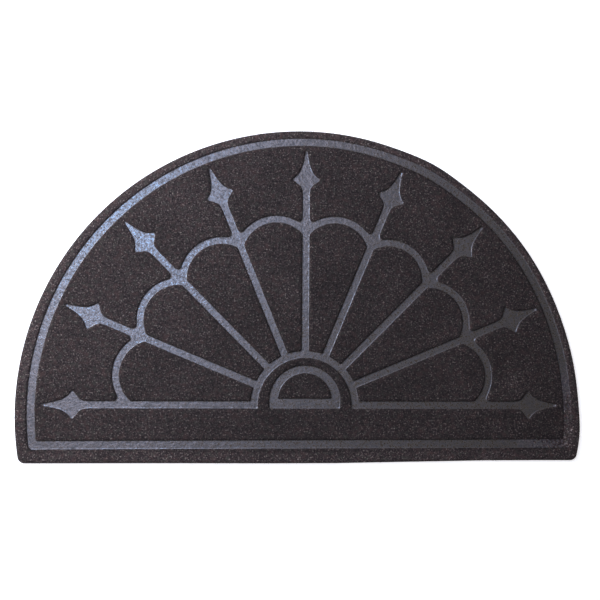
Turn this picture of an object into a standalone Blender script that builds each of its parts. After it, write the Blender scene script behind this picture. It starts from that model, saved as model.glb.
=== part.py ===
"""Half round doormat: one flat piece of needle-punched felt with a fanlight pattern pressed into its face.

The pattern is drawn about the hub of the fan, at x = 0, y = 0, with the rays rising towards +Y.
Every pressed line is a channel between two rails. The channels are cut from the slab, and the slab is
then set down with the middle of its footprint at the origin. Units are metres, +Z is up.
"""

import math

import bmesh
import bpy
import numpy as np

# Outline of the mat. Its rim is a circle that runs on below the hub to a straight base edge.
RIM_RADIUS = 0.375
RIM_CENTRE = (-0.0018, -0.0042)
BASE_EDGE = -0.0765
BASE_CORNER = 0.009
THICKNESS = 0.008
EDGE_ROUND_WIDTH = 0.005
EDGE_ROUND_DROP = 0.004

# The mat isn't quite true. Its rim bulges and draws in: (angle in degrees, spread in degrees, how far out).
# The border line goes along with it, less and less towards RIM_LOBES_FROM.
RIM_LOBES = (
    (-6.0, 6.0, 0.0031),
    (20.0, 11.0, -0.0012),
    (62.0, 6.0, 0.0020),
    (105.0, 18.0, -0.0005),
)
RIM_LOBES_FROM = 0.330

# Its base edge is cut askew: (distance from the middle, how far the edge lies above BASE_EDGE).
BASE_LIE = (
    (-0.360, 0.0012),
    (-0.200, 0.0008),
    (-0.040, 0.0),
    (0.040, 0.0),
    (0.240, 0.0029),
    (0.360, 0.0030),
)

# Pressed lines: how deep they are, and how much wider they are at the face than at their floor.
PRESS_DEPTH = 0.002
PRESS_FLARE = 0.0005
CUT_ABOVE = 0.001

# Border line, an even band inside the rim.
BORDER_OUTER = 0.3609
BORDER_INNER = 0.3509
BORDER_CENTRE = (0.0002, -0.0012)
BORDER_OUTER_BASE = -0.0563
BORDER_INNER_BASE = -0.0460
BORDER_OUTER_CORNER = 0.005
BORDER_INNER_CORNER = 0.001
BORDER_TILT = 0.0022

# Nine rays, each half as wide as RAY_HALF says, from the hub ring to a spear head.
RAYS = 9
RAY_STEP = math.pi / (RAYS - 1)
RAY_HALF = 0.00444
RAY_START = 0.0665
RAY_END = 0.296
LEVEL_RAY_LIFT = 0.0004

# Half width of a spear head at each distance from the hub: (distance, half width).
SPEAR_HEAD = (
    (0.2840, 0.0043),
    (0.2900, 0.0053),
    (0.2945, 0.0080),
    (0.2975, 0.0120),
    (0.3022, 0.0178),
    (0.3040, 0.0175),
    (0.3080, 0.0125),
    (0.3130, 0.0086),
    (0.3185, 0.0061),
    (0.3260, 0.0039),
    (0.3340, 0.0023),
    (0.3400, 0.0013),
    (0.3415, 0.0006),
)

# Eight scallops, arcs that join each ray to the next.
SCALLOP_CENTRE = 0.2019
SCALLOP_OUTER = 0.0549
SCALLOP_INNER = 0.0462
CROTCH_FILLET = 0.0055
CROTCH_WEB = 0.0068

# Hub: a ring, and inside it a D with its own bar. Both stand on the lower side of the level rays.
HUB_BASE = LEVEL_RAY_LIFT - RAY_HALF
HUB_OUTER = 0.0716
HUB_INNER = 0.0627
D_OUTER = 0.0471
D_OUTER_RISE = 0.0051
D_INNER = 0.0360
D_INNER_RISE = 0.0065
D_BAR_TOP = 0.0084

# Steps along the round stretches.
RIM_STEPS = 120
CORNER_STEPS = 4
BASE_STEPS = 12
ROUND_STEPS = 3
HUB_STEPS = 36
SCALLOP_STEPS = 18
FILLET_STEPS = 5

SHARP_FROM = math.radians(30)
FELT_COLOUR = (0.035, 0.031, 0.030)
FELT_ROUGHNESS = 0.95

FLOOR_Z = THICKNESS - PRESS_DEPTH
CUT_TOP_Z = THICKNESS + CUT_ABOVE
CUT_FLARE = PRESS_FLARE * (PRESS_DEPTH + CUT_ABOVE) / PRESS_DEPTH


def clear_scene():
    """Removes what the file holds."""
    for obj in list(bpy.data.objects):
        bpy.data.objects.remove(obj, do_unlink=True)


def arch(radius, centre, base, corner=0.0, steps=RIM_STEPS):
    """A circle that runs on below its centre to a level base, from the right corner over the top.

    With a corner radius, a smaller arc joins the circle to the base. The two arcs touch where a line from
    the circle's centre through the small arc's centre meets them both.
    """
    cx, cy = centre
    small_y = base + corner
    small_x = math.sqrt((radius - corner) ** 2 - (small_y - cy) ** 2)
    meet = math.atan2(small_y - cy, small_x)
    round_top = np.linspace(meet, math.pi - meet, steps + 1)
    points = cx + radius * np.cos(round_top), cy + radius * np.sin(round_top)
    if corner:
        turn = np.linspace(-math.pi / 2, meet, CORNER_STEPS + 1)[:-1]
        right = cx + small_x + corner * np.cos(turn), small_y + corner * np.sin(turn)
        left = cx - small_x - corner * np.cos(turn[::-1]), small_y + corner * np.sin(turn[::-1])
        points = [np.concatenate(parts) for parts in zip(right, points, left)]
    return np.column_stack(points)


def with_base(points, steps=BASE_STEPS):
    """Adds the points of the base edge, which close an arch from its left corner back to its right one."""
    share = np.linspace(0.0, 1.0, steps + 1)[1:-1, None]
    return np.vstack([points, points[-1] + (points[0] - points[-1]) * share])


def stretched(points):
    """Moves points out or in along the radius by the rim's lobes, each a bell curve of the angle.

    The move is whole at the rim and fades towards the pattern, which stays true.
    """
    distance = np.hypot(*(points - RIM_CENTRE).T)
    angle = np.degrees(np.arctan2(*(points - RIM_CENTRE).T[::-1]))
    angle = np.where(angle < -90.0, angle + 360.0, angle)
    move = sum(size * np.exp(-(((angle - at) / spread) ** 2)) for at, spread, size in RIM_LOBES)
    share = np.clip((distance - RIM_LOBES_FROM) / (RIM_RADIUS - RIM_LOBES_FROM), 0.0, 1.0)
    return points + (points - RIM_CENTRE) * (move * share / distance)[:, None]


def lifted(points, lift):
    """Raises points by lift, wholly at the base edge and not at all at the hub or above it."""
    share = np.clip(points[:, 1] / BASE_EDGE, 0.0, 1.0)
    return points + np.column_stack([np.zeros(len(points)), lift * share])


def rim(inset=0.0):
    """The mat's outline, drawn in by inset, with its lobes and its askew base."""
    points = with_base(arch(RIM_RADIUS - inset, RIM_CENTRE, BASE_EDGE + inset, BASE_CORNER - inset))
    return stretched(lifted(points, np.interp(points[:, 0], *zip(*BASE_LIE))))


def level(points, z):
    """The same points at height z."""
    return np.column_stack([points, np.full(len(points), z)])


def add_ring(mesh, lower, upper):
    """Joins two closed loops of vertices by a ring of quads."""
    count = len(lower)
    for i in range(count):
        j = (i + 1) % count
        mesh.faces.new((lower[i], lower[j], upper[j], upper[i]))


def object_from(mesh, name):
    """Turns an edit mesh into an object of the scene, faces out and shaded smooth but for sharp edges."""
    bmesh.ops.recalc_face_normals(mesh, faces=mesh.faces)
    data = bpy.data.meshes.new(name)
    mesh.to_mesh(data)
    mesh.free()
    data.shade_smooth()
    data.set_sharp_from_angle(angle=SHARP_FROM)
    obj = bpy.data.objects.new(name, data)
    bpy.context.scene.collection.objects.link(obj)
    return obj


def make_slab():
    """The plain slab: the outline, with its upper edge pressed round on a quarter of an ellipse."""
    turn = np.linspace(0.0, math.pi / 2, ROUND_STEPS + 1)
    insets = EDGE_ROUND_WIDTH * (1.0 - np.cos(turn))
    heights = THICKNESS - EDGE_ROUND_DROP * (1.0 - np.sin(turn))
    mesh = bmesh.new()
    loops = [[mesh.verts.new(p) for p in level(rim(), 0.0)]]
    for inset, z in zip(insets, heights):
        loops.append([mesh.verts.new(p) for p in level(rim(inset), z)])
        add_ring(mesh, loops[-2], loops[-1])
    mesh.faces.new(loops[0])
    mesh.faces.new(loops[-1])
    return object_from(mesh, "mat")


def add_channel(mesh, left, right, closed=False):
    """Adds the cutter of one pressed line between two rails: narrow at its floor, flared above the face.

    Each cross section has four corners. A closed channel returns to its first section, an open one gets
    end caps.
    """
    across = left - right
    across /= np.linalg.norm(across, axis=1)[:, None]
    corners = (
        level(left, FLOOR_Z),
        level(right, FLOOR_Z),
        level(right - CUT_FLARE * across, CUT_TOP_Z),
        level(left + CUT_FLARE * across, CUT_TOP_Z),
    )
    sections = [[mesh.verts.new(p) for p in section] for section in zip(*corners)]
    pairs = list(zip(sections, sections[1:]))
    if closed:
        pairs.append((sections[-1], sections[0]))
    for here, there in pairs:
        add_ring(mesh, here, there)
    if not closed:
        mesh.faces.new(sections[0])
        mesh.faces.new(sections[-1])


def make_cutter(name, channels, material):
    """One cutter object from several channels that don't meet each other."""
    mesh = bmesh.new()
    for channel in channels:
        add_channel(mesh, **channel)
    bmesh.ops.triangulate(mesh, faces=mesh.faces)
    obj = object_from(mesh, name)
    obj.hide_render = True
    obj.display_type = "WIRE"
    obj.data.materials.append(material)
    return obj


def turned(points, angle):
    """Points given as (along, across) the line that leaves the hub at this angle."""
    along = np.array([math.cos(angle), math.sin(angle)])
    across = np.array([-math.sin(angle), math.cos(angle)])
    return points[:, :1] * along + points[:, 1:] * across


def on_ray(points, angle):
    """Points given as (along, across) a ray. The two level rays lie a little above the hub's centre."""
    level_ray = math.isclose(math.sin(angle), 0.0, abs_tol=1e-6)
    return turned(points, angle) + (0.0, LEVEL_RAY_LIFT if level_ray else 0.0)


def border_channel():
    """The border line, a closed band that follows the rim, with a base that runs a little uphill."""
    outer = with_base(arch(BORDER_OUTER, BORDER_CENTRE, BORDER_OUTER_BASE, BORDER_OUTER_CORNER))
    inner = with_base(arch(BORDER_INNER, BORDER_CENTRE, BORDER_INNER_BASE, BORDER_INNER_CORNER))
    left, right = (stretched(lifted(rail, BORDER_TILT * rail[:, 0])) for rail in (outer, inner))
    return {"left": left, "right": right, "closed": True}


def ray_channel(angle):
    """A straight ray, from inside the hub ring to inside its spear head."""
    left = np.array([[RAY_START, RAY_HALF], [RAY_END, RAY_HALF]])
    return {"left": on_ray(left, angle), "right": on_ray(left * (1.0, -1.0), angle)}


def head_channel(angle):
    """A spear head, whose half width follows the table from its neck over the barbs to its tip."""
    left = np.array(SPEAR_HEAD)
    return {"left": on_ray(left, angle), "right": on_ray(left * (1.0, -1.0), angle)}


def scallop_channel(angle):
    """An arc round a centre half way between two rays, which ends on the middle line of each of them."""
    mean = (SCALLOP_OUTER + SCALLOP_INNER) / 2
    half = RAY_STEP / 2
    along, across = SCALLOP_CENTRE * math.cos(half), SCALLOP_CENTRE * math.sin(half)
    ray_reach = along + math.sqrt(mean**2 - across**2)
    end = math.atan2(ray_reach * math.sin(half), ray_reach * math.cos(half) - SCALLOP_CENTRE)
    turn = np.linspace(-end, end, SCALLOP_STEPS + 1)
    arc = np.column_stack([np.cos(turn), np.sin(turn)])
    centre = (SCALLOP_CENTRE, 0.0)
    return {
        "left": turned(centre + SCALLOP_OUTER * arc, angle),
        "right": turned(centre + SCALLOP_INNER * arc, angle),
    }


def crotch_channel(angle, side):
    """The small web that rounds the corner between a ray and the outside of a scallop.

    Its outer rail is an arc that touches the ray's edge and the scallop's outer circle. Its inner rail is
    an arc about the same centre, far enough out to cover the corner from inside the two lines.
    """
    half = RAY_STEP / 2
    scallop = np.array([SCALLOP_CENTRE * math.cos(half), SCALLOP_CENTRE * math.sin(half)])
    across = RAY_HALF + CROTCH_FILLET
    reach = SCALLOP_OUTER + CROTCH_FILLET
    along = scallop[0] + math.sqrt(reach**2 - (scallop[1] - across) ** 2)
    centre = np.array([along, across])
    to_scallop = math.atan2(*(scallop - centre)[::-1])
    turn = np.linspace(-math.pi / 2, to_scallop - 2 * math.pi, FILLET_STEPS + 1)
    arc = np.column_stack([np.cos(turn), np.sin(turn)])
    rails = (centre + radius * arc for radius in (CROTCH_FILLET, CROTCH_FILLET + CROTCH_WEB))
    left, right = (on_ray(rail * (1.0, side), angle) for rail in rails)
    return {"left": left, "right": right}


def hub_channels():
    """The hub ring, open at its base, and the D inside it, which is closed by its bar."""
    ring_outer = arch(HUB_OUTER, (0.0, 0.0), HUB_BASE, steps=HUB_STEPS)
    ring_inner = arch(HUB_INNER, (0.0, 0.0), HUB_BASE, steps=HUB_STEPS)
    d_outer = arch(D_OUTER, (0.0, D_OUTER_RISE), HUB_BASE, steps=HUB_STEPS)
    d_inner = arch(D_INNER, (0.0, D_INNER_RISE), D_BAR_TOP, steps=HUB_STEPS)
    return (
        {"left": ring_outer, "right": ring_inner},
        {"left": with_base(d_outer, 1), "right": with_base(d_inner, 1), "closed": True},
    )


def make_cutters(material):
    """All pressed lines, grouped so that the channels in one cutter stay clear of each other."""
    angles = [k * RAY_STEP for k in range(RAYS)]
    between = [(k + 0.5) * RAY_STEP for k in range(RAYS - 1)]
    groups = {
        "border_line": [border_channel()],
        "hub_lines": hub_channels(),
        "ray_lines": [ray_channel(a) for a in angles],
        "spear_heads": [head_channel(a) for a in angles],
        "scallops_odd": [scallop_channel(a) for a in between[0::2]],
        "scallops_even": [scallop_channel(a) for a in between[1::2]],
        "crotches_left": [crotch_channel(a, 1) for a in angles[:-1]],
        "crotches_right": [crotch_channel(a, -1) for a in angles[1:]],
    }
    return [make_cutter(name, channels, material) for name, channels in groups.items()]


def felt():
    """Charcoal needle-punched felt."""
    material = bpy.data.materials.new("charcoal_felt")
    material.use_nodes = True
    shader = material.node_tree.nodes["Principled BSDF"]
    shader.inputs["Base Color"].default_value = (*FELT_COLOUR, 1.0)
    shader.inputs["Roughness"].default_value = FELT_ROUGHNESS
    shader.inputs["Metallic"].default_value = 0.0
    return material


def set_down(objects):
    """Moves the drawing from the hub to the middle of the mat's footprint."""
    outline = rim()
    middle = (outline.min(axis=0) + outline.max(axis=0)) / 2
    for obj in objects:
        obj.location = (-middle[0], -middle[1], 0.0)


def make_mat():
    """The mat, with every pressed line cut into its face."""
    material = felt()
    mat = make_slab()
    mat.data.materials.append(material)
    cutters = make_cutters(material)
    for cutter in cutters:
        cut = mat.modifiers.new(cutter.name, "BOOLEAN")
        cut.operation = "DIFFERENCE"
        cut.solver = "EXACT"
        cut.object = cutter
    set_down([mat, *cutters])


clear_scene()
make_mat()
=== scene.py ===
# %% [markdown]
# A half round doormat, dressed as a lesson in Blender.
# The real mat is one piece of needle-punched felt. A hot plate pressed a fanlight pattern into its face:
# where the plate touched, the fibres melted together and lie lower, with a sheen. Everything here is
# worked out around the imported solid, which gives the place and the size.

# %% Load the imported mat
import math

import bpy
import numpy as np
from mathutils import Matrix, Vector
from mathutils.geometry import delaunay_2d_cdt


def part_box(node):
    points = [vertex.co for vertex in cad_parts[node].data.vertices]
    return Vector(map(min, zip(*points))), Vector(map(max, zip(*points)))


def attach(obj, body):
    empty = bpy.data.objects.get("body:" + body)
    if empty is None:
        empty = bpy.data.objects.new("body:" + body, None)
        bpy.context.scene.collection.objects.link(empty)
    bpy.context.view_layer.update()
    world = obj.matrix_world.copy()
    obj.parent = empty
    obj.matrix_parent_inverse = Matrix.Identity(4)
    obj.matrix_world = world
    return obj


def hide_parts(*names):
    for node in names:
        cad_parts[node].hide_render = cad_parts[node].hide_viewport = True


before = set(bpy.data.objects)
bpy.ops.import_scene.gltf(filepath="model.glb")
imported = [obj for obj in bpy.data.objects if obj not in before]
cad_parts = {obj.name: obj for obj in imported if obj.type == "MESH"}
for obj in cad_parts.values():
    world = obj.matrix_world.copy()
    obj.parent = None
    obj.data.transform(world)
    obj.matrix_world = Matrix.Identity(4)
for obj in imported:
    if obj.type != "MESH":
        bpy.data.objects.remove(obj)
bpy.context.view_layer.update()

LOW, HIGH = (np.array(corner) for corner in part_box("mat"))
THICKNESS = HIGH[2] - LOW[2]
MM = 0.001
print("solid, mm:", np.round((HIGH - LOW) / MM, 1), "nodes:", sorted(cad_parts))

# %% [markdown]
# The camera comes first. The photo looks down on the mat from about 0.9 m, a little left of and below its
# middle, so the lens and the place below give the same outline as the photo at 600 by 600 pixels.
# A photo from straight above hides every side, so the view has to be exact to be of use.

# %% Camera
CAMERA_PLACE = Vector((-0.0582, -0.0624, 0.8921))
CAMERA_LOOK = Vector((0.0582, 0.0620, -0.9964))
CAMERA_UP = Vector((-0.0106, 0.9981, 0.0615))
SENSOR = 36.0
LENS = 39.84


def add_camera():
    """A camera whose back, up and side make a square frame: side = up x back, up = back x side."""
    back = -CAMERA_LOOK.normalized()
    side = CAMERA_UP.cross(back).normalized()
    up = back.cross(side)
    data = bpy.data.cameras.new("photo_camera")
    data.lens = LENS
    data.sensor_width = SENSOR
    data.clip_start = 0.01
    camera = bpy.data.objects.new("photo_camera", data)
    turn = Matrix((side, up, back)).transposed().to_4x4()
    camera.matrix_world = Matrix.Translation(CAMERA_PLACE) @ turn
    bpy.context.scene.collection.objects.link(camera)
    bpy.context.scene.camera = camera
    return camera


add_camera()
print("camera", round(CAMERA_PLACE.z, 3), "m above the floor, lens", LENS, "mm")

# %% [markdown]
# The outline is a circle that runs on below the hub of the fan to a straight base edge. The real mat was
# cut a little out of true, so its rim bulges and draws in by a few millimetres, and its base lies askew.
# An outline given by a formula can be drawn at any inset, which the rounded edge needs later.

# %% Outline of the mat
RIM_RADIUS = 0.375
RIM_CENTRE = (-0.0018, -0.0042)
BASE_EDGE = -0.0765
BASE_CORNER = 0.009
RIM_LOBES = ((-6.0, 6.0, 0.0031), (20.0, 11.0, -0.0012), (62.0, 6.0, 0.0020), (105.0, 18.0, -0.0005))
RIM_LOBES_FROM = 0.330
BASE_LIE = (
    (-0.360, 0.0012),
    (-0.200, 0.0008),
    (-0.040, 0.0),
    (0.040, 0.0),
    (0.240, 0.0029),
    (0.360, 0.0030),
)
RIM_STEP = 2.4 * MM
TOP_STEPS = round(RIM_RADIUS * math.pi / RIM_STEP)
LEVEL_STEPS = round(2 * RIM_RADIUS / RIM_STEP)
CORNER_STEPS = 6


def arch(radius, centre, base, corner):
    """Points along a circle cut off by a level base, with rounded corners, anticlockwise from the right.

    The corner arc and the circle touch on the line through both their centres.
    """
    small_y = base + corner
    small_x = math.sqrt((radius - corner) ** 2 - (small_y - centre[1]) ** 2)
    meet = math.atan2(small_y - centre[1], small_x)
    top = np.linspace(meet, math.pi - meet, TOP_STEPS + 1)
    turn = np.linspace(-math.pi / 2, meet, CORNER_STEPS + 1)[:-1]
    right = np.column_stack([small_x + corner * np.cos(turn), small_y + corner * np.sin(turn)])
    left = right[::-1] * (-1, 1)
    level = np.linspace(-1, 1, LEVEL_STEPS + 1)[1:-1]
    parts = [
        right + (centre[0], 0),
        np.column_stack([centre[0] + radius * np.cos(top), centre[1] + radius * np.sin(top)]),
        left + (centre[0], 0),
        np.column_stack([centre[0] + small_x * level, np.full(len(level), base)]),
    ]
    return np.vstack(parts)


def bent(points, lift):
    """Points of a true drawing, moved to where they lie on the real mat.

    The lift is whole at the base edge and fades up to the hub. The lobes move a point along its radius by
    a sum of bell curves of its angle, wholly at the rim and less and less towards RIM_LOBES_FROM.
    """
    share = np.clip(points[:, 1] / BASE_EDGE, 0, 1)
    raised = points + np.column_stack([np.zeros(len(points)), lift * share])
    arm = raised - RIM_CENTRE
    distance = np.maximum(np.hypot(arm[:, 0], arm[:, 1]), MM)
    angle = np.degrees(np.arctan2(arm[:, 1], arm[:, 0]))
    angle = np.where(angle < -90, angle + 360, angle)
    move = sum(size * np.exp(-(((angle - at) / spread) ** 2)) for at, spread, size in RIM_LOBES)
    fade = np.clip((distance - RIM_LOBES_FROM) / (RIM_RADIUS - RIM_LOBES_FROM), 0, 1)
    return raised + arm * (move * fade / distance)[:, None]


def unbent(points, lift_of):
    """The true place of points on the real mat: the moves are small, so three corrections are enough."""
    true = points.copy()
    for _ in range(3):
        true += points - bent(true, lift_of(true))
    return true


def base_lie(points):
    """How far the base edge lies above its true line at each point's distance from the middle."""
    return np.interp(points[:, 0], *zip(*BASE_LIE))


def rim(inset):
    """The mat's outline, drawn in by an inset, with the hub of the fan at 0, 0."""
    true = arch(RIM_RADIUS - inset, RIM_CENTRE, BASE_EDGE + inset, BASE_CORNER - inset)
    return bent(true, base_lie(true))


OUTLINE = rim(0.0)
HUB = (LOW[:2] + HIGH[:2]) / 2 - (OUTLINE.min(axis=0) + OUTLINE.max(axis=0)) / 2
print("outline, mm:", np.round(np.ptp(OUTLINE, axis=0) / MM, 1), "hub at", np.round(HUB / MM, 2))

# %% [markdown]
# The pattern is drawn as one function: how far a point is from the edge of the nearest pressed line, in
# metres, less than zero inside a line. Distances of simple shapes combine easily: the smaller of two is
# their union, the larger of one and minus the other is their difference. The fan repeats, so each point
# is folded to its nearest ray and the ray, the spear head and the scallop are drawn only once.

# %% Pressed lines as distances
BORDER_OUTER = 0.3609
BORDER_INNER = 0.3509
BORDER_CENTRE = (0.0002, -0.0012)
BORDER_OUTER_BASE = -0.0563
BORDER_INNER_BASE = -0.0460
BORDER_OUTER_CORNER = 0.005
BORDER_INNER_CORNER = 0.001
BORDER_TILT = 0.0022
RAYS = 9
RAY_STEP = math.pi / (RAYS - 1)
RAY_HALF = 0.00444
RAY_START = 0.0665
RAY_END = 0.296
LEVEL_RAY_LIFT = 0.0004
SPEAR_HEAD = (
    (0.2840, 0.0043),
    (0.2900, 0.0053),
    (0.2945, 0.0080),
    (0.2975, 0.0120),
    (0.3022, 0.0178),
    (0.3040, 0.0175),
    (0.3080, 0.0125),
    (0.3130, 0.0086),
    (0.3185, 0.0061),
    (0.3260, 0.0039),
    (0.3340, 0.0023),
    (0.3400, 0.0013),
    (0.3415, 0.0006),
)
SCALLOP_CENTRE = 0.2019
SCALLOP_OUTER = 0.0549
SCALLOP_INNER = 0.0462
CROTCH_BLEND = 0.010
HUB_BASE = LEVEL_RAY_LIFT - RAY_HALF
HUB_OUTER = 0.0716
HUB_INNER = 0.0627
MOON_OUTER = 0.0471
MOON_OUTER_RISE = 0.0051
MOON_INNER = 0.0360
MOON_INNER_RISE = 0.0065
MOON_BAR_TOP = 0.0084
CORNER_BLEND = 0.0012
FAR = 1.0


def smaller(a, b, blend):
    """The smaller of two distances, with the corner where they meet rounded off.

    Within a blend of each other, the smaller one is lowered by blend / 4 times the square of how near.
    """
    near = np.maximum(blend - np.abs(a - b), 0) / blend
    return np.minimum(a, b) - near**2 * blend / 4


def arch_distance(points, radius, centre, base, corner=0.0):
    """Distance from a circle cut off by a level base: the larger of two, with a round corner between."""
    side = np.hypot(points[:, 0] - centre[0], points[:, 1] - centre[1]) - radius + corner
    below = base - points[:, 1] + corner
    outside = np.hypot(np.maximum(side, 0), np.maximum(below, 0))
    return outside + np.minimum(np.maximum(side, below), 0) - corner


def border_distance(points):
    """The border line: inside its outer arch and outside its inner one, both a little uphill."""
    true = unbent(points, lambda p: BORDER_TILT * p[:, 0])
    outer = arch_distance(true, BORDER_OUTER, BORDER_CENTRE, BORDER_OUTER_BASE, BORDER_OUTER_CORNER)
    inner = arch_distance(true, BORDER_INNER, BORDER_CENTRE, BORDER_INNER_BASE, BORDER_INNER_CORNER)
    return np.maximum(outer, -inner)


def head_distance(along, across):
    """Distance from a spear head: the nearest of its straight stretches, less than zero inside."""
    reach, half = np.array(SPEAR_HEAD).T
    nearest = np.full(len(along), FAR)
    for x0, x1, y0, y1 in zip(reach, reach[1:], half, half[1:]):
        run = np.array([x1 - x0, y1 - y0])
        share = np.clip(((along - x0) * run[0] + (across - y0) * run[1]) / (run @ run), 0, 1)
        nearest = np.minimum(nearest, np.hypot(along - x0 - share * run[0], across - y0 - share * run[1]))
    inside = (along > reach[0]) & (along < reach[-1]) & (across < np.interp(along, reach, half))
    return np.where(inside, -nearest, nearest)


def scallop_distance(along, across):
    """Distance from a scallop: a ring about the point half way to the next ray, up to the ray's middle."""
    half = RAY_STEP / 2
    mean, width = (SCALLOP_OUTER + SCALLOP_INNER) / 2, (SCALLOP_OUTER - SCALLOP_INNER) / 2
    centre = SCALLOP_CENTRE * np.array([math.cos(half), math.sin(half)])
    reach = centre[0] + math.sqrt(mean**2 - centre[1] ** 2)
    x, y = along - centre[0], across - centre[1]
    ends_at = math.atan2(-centre[1], reach - centre[0])
    turn = np.arctan2(y, x)
    on_arc = np.abs(np.hypot(x, y) - mean) - width
    past_end = np.hypot(along - reach, across) - width
    return np.where(turn > ends_at, on_arc, past_end), np.hypot(x, y) > mean


def fan_distance(points):
    """Rays, spear heads and scallops. A point is folded to its nearest ray, and across it to one side."""
    angle = np.arctan2(points[:, 1], points[:, 0])
    angle = np.where(angle < -math.pi / 2, angle + 2 * math.pi, angle)
    ray = np.clip(np.round(angle / RAY_STEP), 0, RAYS - 1)
    level = (ray == 0) | (ray == RAYS - 1)
    x, y = points[:, 0], points[:, 1] - LEVEL_RAY_LIFT * level
    along = x * np.cos(ray * RAY_STEP) + y * np.sin(ray * RAY_STEP)
    side = y * np.cos(ray * RAY_STEP) - x * np.sin(ray * RAY_STEP)
    across = np.abs(side)
    stem = np.maximum(across - RAY_HALF, np.maximum(RAY_START - along, along - RAY_END))
    spear = smaller(stem, head_distance(along, across), CORNER_BLEND)
    scallop, outside = scallop_distance(along, across)
    scallop = np.where(level & (y < 0), FAR, scallop)
    return np.where(outside, smaller(spear, scallop, CROTCH_BLEND), smaller(spear, scallop, CORNER_BLEND))


def hub_distance(points):
    """The hub: a ring open at its base, and a half moon frame in it, each an arch less a smaller arch."""
    middle = (0.0, 0.0)
    ring = np.maximum(
        arch_distance(points, HUB_OUTER, middle, HUB_BASE), -arch_distance(points, HUB_INNER, middle, -FAR)
    )
    moon = np.maximum(
        arch_distance(points, MOON_OUTER, (0, MOON_OUTER_RISE), HUB_BASE),
        -arch_distance(points, MOON_INNER, (0, MOON_INNER_RISE), MOON_BAR_TOP),
    )
    return np.minimum(ring, moon)


# %% [markdown]
# Nothing pressed into felt is dead straight. A few random waves added together make a soft unevenness
# that is the same on each run. It moves the edges of the lines by a tenth of a millimetre or two and, at
# other wavelengths, raises and lowers the pile.

# %% Unevenness
WAVES = 14


def uneven(points, length, seed):
    """A soft random relief of about -1 to 1: the sum of waves about as long as given, in all directions."""
    rng = np.random.default_rng(seed)
    heading = rng.uniform(0, 2 * math.pi, WAVES)
    pace = 2 * math.pi / (length * rng.uniform(0.7, 1.5, WAVES))
    phase = points[:, :1] * (pace * np.cos(heading)) + points[:, 1:2] * (pace * np.sin(heading))
    return np.sin(phase + rng.uniform(0, 2 * math.pi, WAVES)).sum(axis=1) / math.sqrt(WAVES / 2) / 2


EDGE_WANDER = 0.16 * MM
EDGE_WANDER_LENGTH = 5 * MM


def line_distance(points):
    """Distance from the edge of the nearest pressed line, with the border, the fan and the hub in one."""
    fan = smaller(fan_distance(points), hub_distance(points), CORNER_BLEND)
    true = np.minimum(fan, border_distance(points))
    return true + EDGE_WANDER * uneven(points, EDGE_WANDER_LENGTH, seed=3)


SAMPLE = line_distance(np.array([[0.0, 0.2], [0.0, 0.0665], [0.02, 0.2]]))
print("distance on a ray, on the hub ring and in the pile, mm:", np.round(SAMPLE / MM, 2))

# %% [markdown]
# A plain grid would cut the lines' edges into steps. So the edges are found first: for a few chosen
# distances the contour is read off a grid, cell by cell, as whole arrays. Each contour is then evened out
# along its length and drawn back to its exact distance, so its points lie on the curve.

# %% Contours of the pressed lines
CONTOUR_PITCH = 2.3 * MM
CONTOURS = np.array([-1.5, -0.6, 0.0, 0.4, 1.0, 1.7]) * MM
NUDGE = 0.05 * MM


def slope_at(points):
    """The direction in which the distance grows, from two small steps each way along x and y."""
    steps = ((NUDGE, 0), (0, NUDGE))
    rises = [line_distance(points + s) - line_distance(points - s) for s in steps]
    return np.column_stack(rises) / (2 * NUDGE)


def drawn_to(points, level):
    """Points moved along the slope until their distance is the level."""
    slope = slope_at(points)
    short = (line_distance(points) - level) / np.maximum((slope**2).sum(axis=1), 0.2)
    return points - slope * np.clip(short, -MM, MM)[:, None]


def contour(grid, values, level):
    """Points and links of one contour: it crosses a grid line where the value passes the level.

    A crossing lies between two corners in the ratio of their values, and each cell with two crossings
    links them.
    """
    above = values > level
    number = np.full((4,) + values.shape, -1)
    crossings = []
    count = 0
    for way, (rows, columns) in enumerate(((1, 0), (0, 1))):
        here = values[: values.shape[0] - rows, : values.shape[1] - columns]
        there = values[rows:, columns:]
        cut = above[: here.shape[0], : here.shape[1]] != above[rows:, columns:]
        i, j = np.nonzero(cut)
        share = ((level - here[i, j]) / (there[i, j] - here[i, j]))[:, None]
        crossings.append(grid[i, j] + share * (grid[i + rows, j + columns] - grid[i, j]))
        number[way, i, j] = count + np.arange(len(i))
        count += len(i)
    number[2, :, :-1] = number[0, :, 1:]
    number[3, :-1] = number[1, 1:]
    cells = number[:, :-1, :-1].reshape(4, -1).T
    linked = cells[(cells >= 0).sum(axis=1) == 2]
    return np.vstack(crossings), np.sort(linked, axis=1)[:, 2:]


def evened(points, links, level, rounds=12):
    """The contour with its points spread evenly: each moves half way to the middle of its neighbours."""
    for _ in range(rounds):
        total = np.zeros_like(points)
        count = np.zeros(len(points))
        for a, b in (links.T, links.T[::-1]):
            np.add.at(total, a, points[b])
            np.add.at(count, a, 1)
        middle = total / np.maximum(count, 1)[:, None]
        points = np.where((count == 2)[:, None], (points + middle) / 2, points)
        points = drawn_to(points, level)
    return points


def pressed_contours():
    """All contours of the pressed lines, as one list of points and one of links."""
    low, high = OUTLINE.min(axis=0), OUTLINE.max(axis=0)
    axes = [np.arange(a, b, CONTOUR_PITCH) for a, b in zip(low, high)]
    grid = np.stack(np.meshgrid(*axes, indexing="ij"), axis=-1)
    values = line_distance(grid.reshape(-1, 2)).reshape(grid.shape[:2])
    points, links, start = [], [], 0
    for level in CONTOURS:
        found, joined = contour(grid, values, level)
        points.append(evened(found, joined, level))
        links.append(joined + start)
        start += len(found)
    return np.vstack(points), np.vstack(links)


LINE_POINTS, LINE_LINKS = pressed_contours()
print(len(LINE_POINTS), "contour points,", len(LINE_LINKS), "links")

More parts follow.
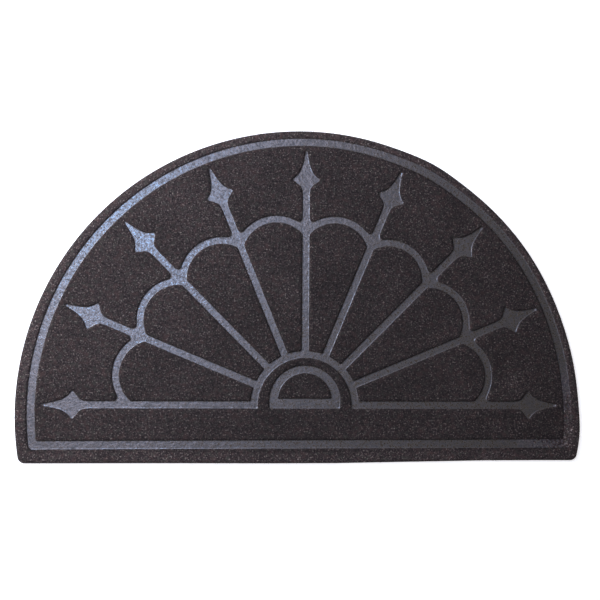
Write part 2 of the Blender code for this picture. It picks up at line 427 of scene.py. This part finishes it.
# %% [markdown]
# The height follows from the distance: the floor of a line lies 2.1 mm down, a short steep wall rises from
# it, and the pile's brink is rounded over. The felt itself is a little uneven, as thick cloth is. A bump in
# the material could fake this from above, but the lines would be gone from the side and from the mesh.
# The plate was cooler at the lower right of the border and bridged a few lumps, and pressed less there.

# %% Height of the face
PRESS_DEPTH = 2.1 * MM
WALL = (-0.2 * MM, 1.5 * MM)
FILM_EDGE = 0.4 * MM
BRINK = (0.2 * MM, 3.0 * MM)
BRINK_SHARE = 0.18
PILE_RELIEF = ((9 * MM, 0.10 * MM), (34 * MM, 0.12 * MM))
FLOOR_RELIEF = ((4 * MM, 0.035 * MM), (15 * MM, 0.06 * MM))


def ease(value, low, high):
    """0 below low, 1 above high, and 3t^2 - 2t^3 between them."""
    t = np.clip((value - low) / (high - low), 0, 1)
    return t * t * (3 - 2 * t)


def relief(points, table, seed):
    """The sum of uneven reliefs of the given wavelengths and heights."""
    return sum(size * uneven(points, length, seed + k) for k, (length, size) in enumerate(table))


LEAST_DEPTH = 0.3
NEAR_BORDER = 4 * MM
COOL_SPOT = (0.368, -0.030)
COOL_REACH = 0.115
COOL_LOSS = 0.75
NICKS = ((-0.207, 0.0004, 4.0, 0.60), (-0.279, -0.052, 5.0, 0.25), (-0.118, -0.051, 4.0, 0.25))


def melted_share(points):
    """How far the felt has melted: 1, less a bell curve about a cool spot on the border, less the nicks.

    Each nick is (x, y, reach in mm, loss), a place where the plate bridged a lump in the felt.
    """
    away = np.hypot(*(points - COOL_SPOT).T) / COOL_REACH
    on_border = border_distance(points) < NEAR_BORDER
    share = 1 - COOL_LOSS * on_border * np.exp(-(away**2))
    for x, y, reach, loss in NICKS:
        share -= loss * np.exp(-(((points - (x, y)) ** 2).sum(axis=1)) / (reach * MM) ** 2)
    return share


def face_height(points, distance):
    """Height of the face: the line's floor, plus a wall and a rounded brink, plus unevenness.

    Where the felt melted less it was pressed less deep, down to LEAST_DEPTH of the full depth.
    """
    raised = (1 - BRINK_SHARE) * ease(distance, *WALL) + BRINK_SHARE * ease(distance, *BRINK)
    pile = relief(points, PILE_RELIEF, seed=11)
    floor = relief(points, FLOOR_RELIEF, seed=21)
    depth = PRESS_DEPTH * (LEAST_DEPTH + (1 - LEAST_DEPTH) * melted_share(points))
    return THICKNESS - depth * (1 - raised) + pile * raised + floor * (1 - raised)


# %% [markdown]
# The face is then filled with staggered points, kept clear of the contours and of the rim, and Blender's
# own Delaunay function joins everything to well shaped triangles while it keeps the contours as edges.
# A grid, a remesh or a Boolean would each blur the lines or cost many more faces.

# %% Points over the face
EDGE_WIDTH = 5 * MM
FILL_STEP = 2.7 * MM


def rim_distance(points):
    """Distance from the mat's outline, less than zero on the mat."""
    return arch_distance(unbent(points, base_lie), RIM_RADIUS, RIM_CENTRE, BASE_EDGE, BASE_CORNER)


def staggered(step, clear_of_rim):
    """Rows of points, every other row shifted by half a step, each point nudged a little."""
    low, high = OUTLINE.min(axis=0), OUTLINE.max(axis=0)
    rows = np.arange(low[1], high[1], step * math.sqrt(3) / 2)
    x, y = np.meshgrid(np.arange(low[0], high[0], step), rows)
    x[1::2] += step / 2
    points = np.column_stack([x.ravel(), y.ravel()])
    points += np.random.default_rng(5).uniform(-0.15, 0.15, points.shape) * step
    return points[rim_distance(points) < -clear_of_rim]


def joined(loop, points, links):
    """Triangles over the inside of a loop, through all points, with the links kept as edges.

    The loop runs anticlockwise, so a triangle of three loop points lies inside it only if it runs
    anticlockwise too when its points are taken in the loop's order. The others bridge a hollow of the loop.
    """
    everything = np.vstack([loop, points])
    ring = np.arange(len(loop))
    edges = np.vstack([np.column_stack([ring, np.roll(ring, -1)]), links + len(loop)])
    places, _, faces, *_ = delaunay_2d_cdt(everything.tolist(), edges.tolist(), [], 1, 1e-7, False)
    places = np.array([tuple(p) for p in places])
    assert np.allclose(places[: len(loop)], loop, atol=1e-6)
    faces = np.array([tuple(f) for f in faces])
    a, b, c = (places[k] for k in np.sort(faces, axis=1).T)
    across = (b - a)[:, 0] * (c - a)[:, 1] - (b - a)[:, 1] * (c - a)[:, 0]
    return places, faces[(faces >= len(loop)).any(axis=1) | (across > 0)]


FILL = staggered(FILL_STEP, EDGE_WIDTH + 0.6 * FILL_STEP)
FILL_DISTANCE = line_distance(FILL)
CLEAR = (FILL_DISTANCE > CONTOURS[-1] + 0.6 * FILL_STEP) | (FILL_DISTANCE < CONTOURS[0] - 0.5 * FILL_STEP)
FACE_LOOP = rim(EDGE_WIDTH)
FACE_POINTS, FACE_FACES = joined(FACE_LOOP, np.vstack([LINE_POINTS, FILL[CLEAR]]), LINE_LINKS)
print(CLEAR.sum(), "fill points,", len(FACE_FACES), "triangles on the face")

# %% [markdown]
# The edge is a profile carried round the rim. From the face it bends down on a quarter of an ellipse,
# stands nearly upright and tucks in a little at the back, where the felt is fused to a thin skin. The
# back was never pressed with a pattern, so it is closed with large flat triangles.

# %% Edge and back
EDGE_DROP = 4.5 * MM
EDGE_TURNS = 7
TUCK = ((0.15 * MM, 1.6 * MM), (0.5 * MM, 0.5 * MM), (1.2 * MM, 0.0))
BACK_STEP = 16 * MM


def edge_profile():
    """(inset, height) from the face down: a quarter ellipse, then the tucked in back."""
    turn = np.linspace(math.pi / 2, 0, EDGE_TURNS + 1)[1:]
    insets = EDGE_WIDTH * (1 - np.cos(turn))
    return np.vstack([np.column_stack([insets, THICKNESS - EDGE_DROP * (1 - np.sin(turn))]), TUCK])


def strip(upper, lower):
    """Triangles between two rings of vertex numbers, the lower one below, faces outwards."""
    a, b = np.roll(upper, -1), np.roll(lower, -1)
    return np.vstack([np.column_stack([lower, b, a]), np.column_stack([lower, a, upper])])


def mat_surface():
    """Places and triangles of the whole closed mat, and how far each point lies from a line's edge."""
    distance = line_distance(FACE_POINTS)
    height = face_height(FACE_POINTS, distance)
    places = [np.column_stack([FACE_POINTS, height])]
    faces = [FACE_FACES]
    ring = np.arange(len(FACE_LOOP))
    start = len(FACE_POINTS)
    for inset, level in edge_profile():
        loop = rim(inset)
        places.append(np.column_stack([loop, np.full(len(loop), level)]))
        below = start + np.arange(len(loop))
        faces.append(strip(ring, below))
        ring, start = below, start + len(loop)
    back, back_faces = joined(loop, staggered(BACK_STEP, BACK_STEP), np.zeros((0, 2), int))
    places.append(np.column_stack([back[len(loop) :], np.zeros(len(back) - len(loop))]))
    faces.append(back_faces[:, ::-1] + ring[0])
    return np.vstack(places), faces


PLACES, PARTS = mat_surface()
print(len(PLACES), "points,", sum(map(len, PARTS)), "triangles in all")

# %% [markdown]
# Colours are given as they look on a screen, in sRGB hex, and turned to the linear values that a shader
# works with. One small function adds a node, sets its values and links what is given to it.

# %% Helpers for materials


def colour(code):
    """An sRGB hex code as linear red, green, blue and alpha, by the sRGB curve."""
    parts = [int(code[k : k + 2], 16) / 255 for k in (1, 3, 5)]
    return [p / 12.92 if p <= 0.04045 else ((p + 0.055) / 1.055) ** 2.4 for p in parts] + [1.0]


def add(tree, kind, inputs=None, **settings):
    """Adds a node: settings are its properties, inputs are values or sockets by name or number."""
    made = tree.nodes.new(kind)
    for name, value in settings.items():
        setattr(made, name, value)
    for name, value in (inputs or {}).items():
        if isinstance(value, bpy.types.NodeSocket):
            tree.links.new(value, made.inputs[name])
        else:
            made.inputs[name].default_value = value
    return made


def new_material(name):
    """An empty node material: its tree and its output node."""
    material = bpy.data.materials.new(name)
    material.use_nodes = True
    material.node_tree.nodes.clear()
    return material, material.node_tree, add(material.node_tree, "ShaderNodeOutputMaterial")


print("a mid grey is", round(colour("#808080")[0], 3), "in linear light")

# %% [markdown]
# The pile is needle-punched polypropylene, spun black with some brown and grey fibres among it. Barbed
# needles drive the fibres into the backing, so their cut ends stand every way and the surface scatters
# light like soot, with single fibres that catch it. Real fibres are a tenth of a millimetre thick: their
# grain is drawn about twenty times coarser, or a picture of the whole mat could not show it. Noise in the
# object's own coordinates was chosen over a picture, because it needs no file and has no seam.

# %% Pile
FIBRE_GRAIN = 2.1 * MM
TUFT_GRAIN = 4.5 * MM
BLEND_GRAIN = 5.5 * MM
LAY_GRAIN = 75 * MM
PILE_DARK = "#191516"
PILE_MIDDLE = "#382f2e"
PILE_LIGHT = "#948a82"
PILE_RED = "#3c2e2c"
PILE_GREEN = "#33312d"
PILE_ROUGH = 0.95
WEAR_AND_SHADE_GAIN = 0.5


def pile_look(tree):
    """Colour and height of the pile, as two sockets: fine grain over tufts over a slow change of lay."""
    place = add(tree, "ShaderNodeTexCoord").outputs["Object"]
    grain = add(
        tree,
        "ShaderNodeTexNoise",
        {"Vector": place, "Scale": 1 / FIBRE_GRAIN, "Detail": 3.0, "Roughness": 0.7},
    ).outputs["Fac"]
    tuft = add(
        tree,
        "ShaderNodeTexNoise",
        {"Vector": place, "Scale": 1 / TUFT_GRAIN, "Detail": 2.0, "Roughness": 0.5},
    ).outputs["Fac"]
    blend = add(tree, "ShaderNodeTexNoise", {"Vector": place, "Scale": 1 / BLEND_GRAIN, "Detail": 1.0})
    lay = add(tree, "ShaderNodeTexNoise", {"Vector": place, "Scale": 1 / LAY_GRAIN, "Detail": 2.0})
    body = add(tree, "ShaderNodeMapRange", {"Value": grain, "From Min": 0.38, "From Max": 0.60})
    tips = add(tree, "ShaderNodeMapRange", {"Value": grain, "From Min": 0.58, "From Max": 0.78})
    dark = add(
        tree,
        "ShaderNodeMix",
        {0: body.outputs[0], 6: colour(PILE_DARK), 7: colour(PILE_MIDDLE)},
        data_type="RGBA",
    )
    parts = add(tree, "ShaderNodeSeparateColor", {"Color": blend.outputs["Color"]})
    red = add(tree, "ShaderNodeMapRange", {"Value": parts.outputs[0], "From Min": 0.5, "From Max": 0.8})
    green = add(tree, "ShaderNodeMapRange", {"Value": parts.outputs[1], "From Min": 0.5, "From Max": 0.8})
    redder = add(
        tree,
        "ShaderNodeMix",
        {0: red.outputs[0], 6: dark.outputs[2], 7: colour(PILE_RED)},
        data_type="RGBA",
    )
    greener = add(
        tree,
        "ShaderNodeMix",
        {0: green.outputs[0], 6: redder.outputs[2], 7: colour(PILE_GREEN)},
        data_type="RGBA",
    )
    tipped = add(
        tree,
        "ShaderNodeMix",
        {0: tips.outputs[0], 6: greener.outputs[2], 7: colour(PILE_LIGHT)},
        data_type="RGBA",
    )
    shade = add(
        tree,
        "ShaderNodeMapRange",
        {"Value": lay.outputs["Fac"], "From Min": 0.3, "From Max": 0.7, "To Min": 0.85, "To Max": 1.15},
    )
    # Wear and painted shade: lighter at the margin and dusty places, darker in the middle of the fan as
    # painted shade.
    wear_and_shade = add(tree, "ShaderNodeAttribute", attribute_name="wear_and_shade").outputs["Fac"]
    gain = add(tree, "ShaderNodeMath", {0: wear_and_shade, 1: WEAR_AND_SHADE_GAIN, 2: shade.outputs[0]}, operation="MULTIPLY_ADD")
    shaded = add(
        tree,
        "ShaderNodeMix",
        {0: 1.0, 6: tipped.outputs[2], 7: gain.outputs[0]},
        data_type="RGBA",
        blend_type="MULTIPLY",
    )
    height = add(tree, "ShaderNodeMath", {0: tuft, 1: 1.5, 2: grain}, operation="MULTIPLY_ADD")
    return shaded.outputs[2], height.outputs[0]


def pile():
    """Needle-punched pile: dull, with a relief of fibre ends."""
    material, tree, output = new_material("needle_punched_polypropylene_pile")
    tint, height = pile_look(tree)
    bump = add(tree, "ShaderNodeBump", {"Height": height, "Strength": 0.9, "Distance": 0.7 * MM})
    shader = add(
        tree,
        "ShaderNodeBsdfPrincipled",
        {"Base Color": tint, "Roughness": PILE_ROUGH, "Normal": bump.outputs[0], "Specular IOR Level": 0.3},
    )
    tree.links.new(shader.outputs[0], output.inputs[0])
    return material


# %% [markdown]
# Where the hot plate pressed, the fibres have melted to a film, but their ends still show as a speckle of
# darker and duller pits. It is smoother than the pile, so it mirrors the light above it softly: at the left
# it looks bluish white, at the right only a little lighter than the pile. A faintly blue specular tint
# keeps that mirror image cool. Where the plate was cooler, at the lower right corner, the film is patchy
# and the pile shows through, so this material holds both looks and mixes them by the melted share.

# %% Fused lines
FILM_GRAIN = 2.3 * MM
FILM_WAVE = 6 * MM
FILM_COLOUR = "#4b443c"
FILM_PIT = "#2a2520"
FILM_TINT = "#e7eeff"
FILM_IOR = 1.6
FILM_PATCH = 4 * MM


def fused():
    """Melted felt: a film with a soft gloss, finely pitted, that gives way to pile where it is patchy."""
    material, tree, output = new_material("hot_pressed_polypropylene_film")
    pile_tint, pile_height = pile_look(tree)
    place = add(tree, "ShaderNodeTexCoord").outputs["Object"]
    grain = add(
        tree,
        "ShaderNodeTexNoise",
        {"Vector": place, "Scale": 1 / FILM_GRAIN, "Detail": 2.0, "Roughness": 0.6},
    ).outputs["Fac"]
    wave, patch = (
        add(tree, "ShaderNodeTexNoise", {"Vector": place, "Scale": 1 / size, "Detail": 2.0}).outputs["Fac"]
        for size in (FILM_WAVE, FILM_PATCH)
    )
    melted = add(tree, "ShaderNodeAttribute", attribute_name="melted").outputs["Fac"]
    share = add(tree, "ShaderNodeMath", {0: melted, 1: patch}, operation="ADD")
    whole = add(tree, "ShaderNodeMapRange", {"Value": share.outputs[0], "From Min": 0.82, "From Max": 1.12})
    pits = add(tree, "ShaderNodeMapRange", {"Value": grain, "From Min": 0.34, "From Max": 0.58})
    film = add(
        tree,
        "ShaderNodeMix",
        {0: pits.outputs[0], 6: colour(FILM_PIT), 7: colour(FILM_COLOUR)},
        data_type="RGBA",
    )
    tint = add(
        tree,
        "ShaderNodeMix",
        {0: whole.outputs[0], 6: pile_tint, 7: film.outputs[2]},
        data_type="RGBA",
    )
    film_rough = add(
        tree,
        "ShaderNodeMapRange",
        {"Value": grain, "From Min": 0.34, "From Max": 0.60, "To Min": 0.72, "To Max": 0.22},
    )
    rough = add(tree, "ShaderNodeMix", {0: whole.outputs[0], 2: PILE_ROUGH, 3: film_rough.outputs[0]})
    film_height = add(tree, "ShaderNodeMath", {0: wave, 1: 1.2, 2: grain}, operation="MULTIPLY_ADD")
    height = add(tree, "ShaderNodeMix", {0: whole.outputs[0], 2: pile_height, 3: film_height.outputs[0]})
    bump = add(tree, "ShaderNodeBump", {"Height": height.outputs[0], "Strength": 0.8, "Distance": 0.5 * MM})
    shader = add(
        tree,
        "ShaderNodeBsdfPrincipled",
        {
            "Base Color": tint.outputs[2],
            "Roughness": rough.outputs[0],
            "Normal": bump.outputs[0],
            "IOR": FILM_IOR,
            "Specular IOR Level": 1.0,
            "Specular Tint": colour(FILM_TINT),
        },
    )
    tree.links.new(shader.outputs[0], output.inputs[0])
    return material


# %% [markdown]
# The back isn't seen in the photo. It is finished plainly as such mats are: the felt is sealed with a thin
# dark latex coat, dull and slightly grainy, that keeps it from slipping.

# %% Back
LATEX_GRAIN = 1.6 * MM
LATEX_COLOUR = "#262526"


def latex():
    """A dull dark latex coat with a fine grain."""
    material, tree, output = new_material("latex_coated_back")
    place = add(tree, "ShaderNodeTexCoord").outputs["Object"]
    grain = add(tree, "ShaderNodeTexNoise", {"Vector": place, "Scale": 1 / LATEX_GRAIN, "Detail": 2.0})
    shade = add(
        tree,
        "ShaderNodeMapRange",
        {"Value": grain.outputs["Fac"], "To Min": 0.6, "To Max": 1.4},
    )
    tint = add(
        tree,
        "ShaderNodeMix",
        {0: 1.0, 6: colour(LATEX_COLOUR), 7: shade.outputs[0]},
        data_type="RGBA",
        blend_type="MULTIPLY",
    )
    bump = add(
        tree,
        "ShaderNodeBump",
        {"Height": grain.outputs["Fac"], "Strength": 0.5, "Distance": 0.3 * MM},
    )
    shader = add(
        tree,
        "ShaderNodeBsdfPrincipled",
        {"Base Color": tint.outputs[2], "Roughness": 0.75, "Normal": bump.outputs[0]},
    )
    tree.links.new(shader.outputs[0], output.inputs[0])
    return material


# %% [markdown]
# The mesh takes all places and triangles at once. Each triangle wears one of three finishes: fused where
# it lies inside a line, latex on the back, and pile everywhere else. Feet and light have left uneven wear
# on the real pile, and painted shade darkens the middle of the fan. Two numbers at each point, how far it
# melted and how much wear and painted shade it has, tell the materials that, which is easier to place
# than a texture painted over the mat.

# %% Build the mat
MARGIN = (-15.5 * MM, -12.5 * MM)
FLATTENED = 2.2
DUSTY_GAIN = 0.8
# Painted shade: a wide darker spot on the pile in the middle of the fan.
PAINTED_SHADE_SPOT = (0.05, 0.08)
PAINTED_SHADE_REACH = 0.16
PAINTED_SHADE_LOSS = 0.5
DUSTY = ((0.262, -0.030, 9.0), (0.245, -0.066, 8.0), (0.280, 0.030, 14.0), (-0.02, 0.15, 20.0))


def wear_and_shade_share(points):
    """How much lighter wear makes the pile, and where painted shade darkens it.

    It is 1 on the margin outside the border, with a soft spot at each dusty place. Where the border was
    pressed but hardly melted, its pile lies flat and looks lighter too. Inside the fan a wide bell curve
    darkens the pile: that is painted shade. Each dusty place is (x, y, reach in mm).
    """
    share = ease(rim_distance(points), *MARGIN)
    share += FLATTENED * (border_distance(points) < 0) * (1 - melted_share(points))
    # Painted shade: a wide bell curve darkens the middle of the fan.
    share -= PAINTED_SHADE_LOSS * np.exp(-((np.hypot(*(points - PAINTED_SHADE_SPOT).T) / PAINTED_SHADE_REACH) ** 2))
    for x, y, reach in DUSTY:
        share += DUSTY_GAIN * np.exp(-(((points - (x, y)) ** 2).sum(axis=1)) / (reach * MM) ** 2)
    return share


PATCH_LENGTH = 4 * MM
PATCH_CHANCE = 0.12
PATCH_LIMIT = 0.34
PILE_SLOT, FILM_SLOT, BACK_SLOT = range(3)


def make_mat():
    """The mat as one closed mesh in its place, its finishes, and shares of melt, wear and painted shade."""
    places, faces = PLACES.copy(), np.vstack(PARTS)
    middles = places[faces[: len(FACE_FACES)]].mean(axis=1)[:, :2]
    slots = np.full(len(faces), PILE_SLOT, np.int32)
    melted_here = melted_share(middles) + PATCH_CHANCE * uneven(middles, PATCH_LENGTH, seed=31)
    fused_here = (line_distance(middles) < FILM_EDGE) & (melted_here > PATCH_LIMIT)
    slots[: len(FACE_FACES)][fused_here] = FILM_SLOT
    slots[-len(PARTS[-1]) :] = BACK_SLOT
    shares = {"melted": melted_share(places[:, :2]), "wear_and_shade": wear_and_shade_share(places[:, :2])}
    places[:, :2] += HUB
    mesh = bpy.data.meshes.new("mat_felt")
    mesh.from_pydata(places, [], faces)
    for make in (pile, fused, latex):
        mesh.materials.append(make())
    mesh.polygons.foreach_set("material_index", slots)
    for name, share in shares.items():
        mesh.attributes.new(name, "FLOAT", "POINT").data.foreach_set("value", share.astype(np.float32))
    mesh.shade_smooth()
    mesh.update()
    mat = bpy.data.objects.new("mat_felt", mesh)
    bpy.context.scene.collection.objects.link(mat)
    return mat


MAT = make_mat()
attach(MAT, "root")
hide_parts("mat")
print("faces in pile, film and latex:", np.bincount([p.material_index for p in MAT.data.polygons]))

# %% [markdown]
# Loose fibre ends stand up from the pile by a millimetre or so. They could be hair particles, but a few
# ten thousand tiny closed thorns, made as one mesh from arrays, keep the same shape in every program. They
# grow square to the face and lean at random, none grows on the fused lines, and they are drawn thicker
# than real fibres, as the grain is.

# %% Fuzz
FUZZ_TRIES = 62_000
FUZZ_CLEAR = 1.0 * MM
FUZZ_HEIGHT = (0.4 * MM, 1.2 * MM)
FUZZ_LEAN = 0.5 * MM
FUZZ_WIDTH = 0.22 * MM
FUZZ_SUNK = 0.1 * MM


def fuzz_roots(rng):
    """Places on the pile and the way out of it there.

    On the rounded edge the inset is EDGE_WIDTH (1 - cos t) and the drop EDGE_DROP (1 - sin t), as in its
    profile, so t follows from the inset, and cos t outwards with sin t upwards is the way out.
    """
    low, high = OUTLINE.min(axis=0), OUTLINE.max(axis=0)
    points = rng.uniform(low, high, (FUZZ_TRIES, 2))
    inset = -rim_distance(points)
    points, inset = points[inset > 0], inset[inset > 0]
    distance = line_distance(points)
    keep = distance > FUZZ_CLEAR
    points, inset, distance = points[keep], inset[keep], distance[keep]
    out = np.clip(1 - inset / EDGE_WIDTH, 0, 1)
    up = np.sqrt(1 - out**2)
    steps = ((NUDGE, 0), (0, NUDGE))
    rises = [rim_distance(points + s) - rim_distance(points - s) for s in steps]
    slope = np.column_stack(rises) / (2 * NUDGE)
    height = face_height(points, distance) - EDGE_DROP * (1 - up) * (out > 0)
    return np.column_stack([points, height]), np.column_stack([slope * out[:, None], up])


def make_fuzz():
    """All fibre ends as one mesh: each is a closed thorn of three root points and a tip."""
    rng = np.random.default_rng(17)
    roots, ways = fuzz_roots(rng)
    count = len(roots)
    turn = rng.uniform(0, 2 * math.pi, (count, 1)) + np.arange(3) * 2 * math.pi / 3
    ring = np.stack([np.cos(turn), np.sin(turn), np.zeros_like(turn)], axis=-1) * FUZZ_WIDTH
    base = (roots - FUZZ_SUNK * ways)[:, None] + ring
    lean = rng.uniform(-1, 1, (count, 3)) * FUZZ_LEAN * (1, 1, 0)
    tips = roots + ways * rng.uniform(*FUZZ_HEIGHT, (count, 1)) + lean
    places = np.concatenate([base, tips[:, None]], axis=1).reshape(-1, 3)
    places[:, :2] += HUB
    sides = np.array([(0, 2, 1), (0, 1, 3), (1, 2, 3), (2, 0, 3)])
    faces = (np.arange(count)[:, None, None] * 4 + sides).reshape(-1, 3)
    mesh = bpy.data.meshes.new("fibre_ends")
    mesh.from_pydata(places, [], faces)
    mesh.materials.append(MAT.data.materials[0])
    mesh.update()
    fuzz = bpy.data.objects.new("fibre_ends", mesh)
    bpy.context.scene.collection.objects.link(fuzz)
    return fuzz


FUZZ = make_fuzz()
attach(FUZZ, "root")
print("fibre ends:", len(FUZZ.data.polygons) // 4)

# %% [markdown]
# A plain pale floor and soft light. The photo was lit from the upper left. A small panel low on that side
# throws the short shadows inside the pressed lines. A large faintly blue one hangs overhead, and the fused
# lines mirror it, more towards the left. A small blue one is a piece of clear sky, which gives the left
# lines their blue sheen. Other ways of lighting it were one big panel, which left the lines flat, or a
# picture of a room, which would need a file.

# %% Floor and light
FLOOR_COLOUR = "#f4f4f4"
FLOOR_LEVEL = -0.2 * MM
SKY = "#f4f2f2"
SKY_STRENGTH = 0.10
BACKDROP_STRENGTH = 0.85
GLOW = 0.75


def add_floor():
    """A plain matt floor, 6 m square, a hair below the underside so that the two never lie in one plane."""
    half = 3.0
    mesh = bpy.data.meshes.new("floor")
    corners = [(-half, -half, FLOOR_LEVEL), (half, -half, FLOOR_LEVEL)]
    corners += [(half, half, FLOOR_LEVEL), (-half, half, FLOOR_LEVEL)]
    mesh.from_pydata(corners, [], [(0, 1, 2, 3)])
    material, tree, output = new_material("matt_white_floor")
    shader = add(
        tree,
        "ShaderNodeBsdfPrincipled",
        {
            "Base Color": colour(FLOOR_COLOUR),
            "Roughness": 0.9,
            "Emission Color": colour(FLOOR_COLOUR),
            "Emission Strength": GLOW,
        },
    )
    tree.links.new(shader.outputs[0], output.inputs[0])
    mesh.materials.append(material)
    floor = bpy.data.objects.new("floor", mesh)
    bpy.context.scene.collection.objects.link(floor)


def add_panel(name, place, aim, side, power, tint):
    """A square soft light panel, with a side in metres and a power in watts, facing the point aimed at."""
    data = bpy.data.lights.new(name, "AREA")
    data.shape = "SQUARE"
    data.size = side
    data.energy = power
    data.color = colour(tint)[:3]
    panel = bpy.data.objects.new(name, data)
    panel.location = place
    panel.rotation_euler = (Vector(aim) - Vector(place)).to_track_quat("-Z", "Y").to_euler()
    panel.visible_camera = False
    bpy.context.scene.collection.objects.link(panel)


def add_sky():
    """An even pale surrounding: dim as a light, and bright where it is looked at, as a paper backdrop is."""
    world = bpy.data.worlds.new("studio")
    world.use_nodes = True
    background = world.node_tree.nodes["Background"]
    background.inputs["Color"].default_value = colour(SKY)
    seen = add(world.node_tree, "ShaderNodeLightPath").outputs["Is Camera Ray"]
    strength = add(
        world.node_tree,
        "ShaderNodeMapRange",
        {"Value": seen, "To Min": SKY_STRENGTH, "To Max": BACKDROP_STRENGTH},
    )
    world.node_tree.links.new(strength.outputs[0], background.inputs["Strength"])
    bpy.context.scene.world = world


add_floor()
add_sky()
add_panel("window", place=(-0.84, 0.34, 0.62), aim=(-0.10, 0.0, 0.0), side=0.4, power=5.6, tint="#fffbf8")
add_panel("overhead", place=(-0.50, 0.30, 0.80), aim=(-0.20, 0.05, 0.0), side=1.2, power=11.7, tint="#f1ecff")
add_panel("blue_sky", place=(-0.41, 0.23, 0.80), aim=(-0.25, 0.08, 0.0), side=0.2, power=2.2, tint="#8fceff")
bpy.context.scene.view_settings.view_transform = "Standard"
print("lights:", sorted(light.name for light in bpy.data.lights))

# %% [markdown]
# Last, the view layer is updated.

# %% Finish
bpy.context.view_layer.update()
